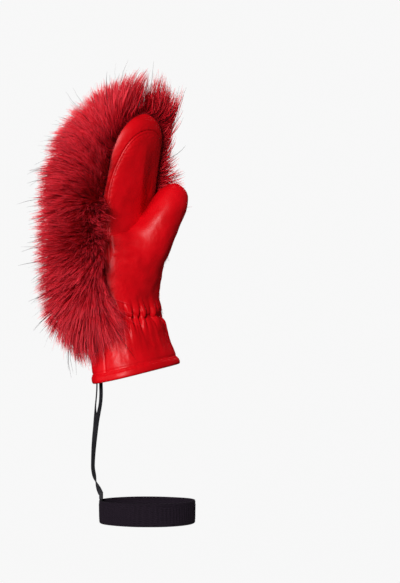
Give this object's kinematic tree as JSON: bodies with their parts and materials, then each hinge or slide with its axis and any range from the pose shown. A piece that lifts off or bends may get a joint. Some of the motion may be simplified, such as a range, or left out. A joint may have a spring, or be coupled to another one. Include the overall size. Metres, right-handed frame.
{
  "type": "ski mitten",
  "caption": "Padded leather ski mitten with a long-pile faux fur back, gathered wrist, flared cuff and a wristband on a ribbon leash.",
  "frame": {"origin": "centre of the cuff's mouth, where the hand goes in", "axes": "+Z from the cuff to the fingertips, +Y out of the fur back, -Y out of the palm, +X to the thumb's side"},
  "size_m": [0.1706, 0.1536, 0.463],
  "materials": {
    "red_leather": "satin",
    "faux_fur": "matte",
    "padding": "matte",
    "lining_fleece": "matte",
    "elastic": "matte",
    "black_ribbon": "satin",
    "black_elastic": "matte",
    "black_plastic": "satin"
  },
  "bodies": {
    "hand": {"palm_panel": "red_leather", "side_band_outer": "red_leather", "side_band_thumb_side": "red_leather", "fur_back": "faux_fur", "insulation_hand": "padding", "lining_hand": "lining_fleece", "thumb_gusset": "red_leather", "wrist_elastic": "elastic", "cuff_palm_panel": "red_leather", "cuff_back_panel": "red_leather", "cuff_lining": "lining_fleece", "hem_binding": "red_leather", "anchor_tab": "black_ribbon", "keeper_loop": "black_ribbon"},
    "fingers": {"palm_panel_fingers": "red_leather", "side_band_fingers": "red_leather", "fur_back_fingers": "faux_fur", "insulation_fingers": "padding", "lining_fingers": "lining_fleece"},
    "thumb": {"thumb_inner_panel": "red_leather", "thumb_outer_panel": "red_leather", "insulation_thumb": "padding", "lining_thumb": "lining_fleece"},
    "leash": {"leash_ribbon": "black_ribbon"},
    "wristband": {"wristband": "black_elastic", "band_join": "black_ribbon"},
    "keeper": {"keeper_hook": "black_plastic"}
  },
  "joints": [
    {"name": "finger_flex", "type": "hinge", "parent": "hand", "child": "fingers", "pos_m": [0, -0.00371, 0.17439], "axis": [1, 0, 0], "range_deg": [-9, 27], "stiffness_Nm_per_rad": 0.8},
    {"name": "thumb_flex", "type": "hinge", "parent": "hand", "child": "thumb", "pos_m": [0.023, 0.001, 0.161], "axis": [-0.936, -0.339, 0.095], "range_deg": [-8, 3], "stiffness_Nm_per_rad": 0.4},
    {"name": "leash_swing", "type": "hinge", "parent": "hand", "child": "leash", "pos_m": [-0.0276, 0.0234, 0.008], "axis": [-0.8189, -0.5739, 0], "range_deg": [-2, 45]},
    {"name": "wristband_swing", "type": "hinge", "parent": "leash", "child": "wristband", "pos_m": [-0.0305, 0.0235, -0.123], "axis": [-0.8189, -0.5739, 0], "range_deg": [-70, 25]},
    {"name": "keeper_swing", "type": "hinge", "parent": "hand", "child": "keeper", "pos_m": [-0.0478, 0.019, 0.0371], "axis": [0, 1, 0], "range_deg": [0, 18]}
  ]
}
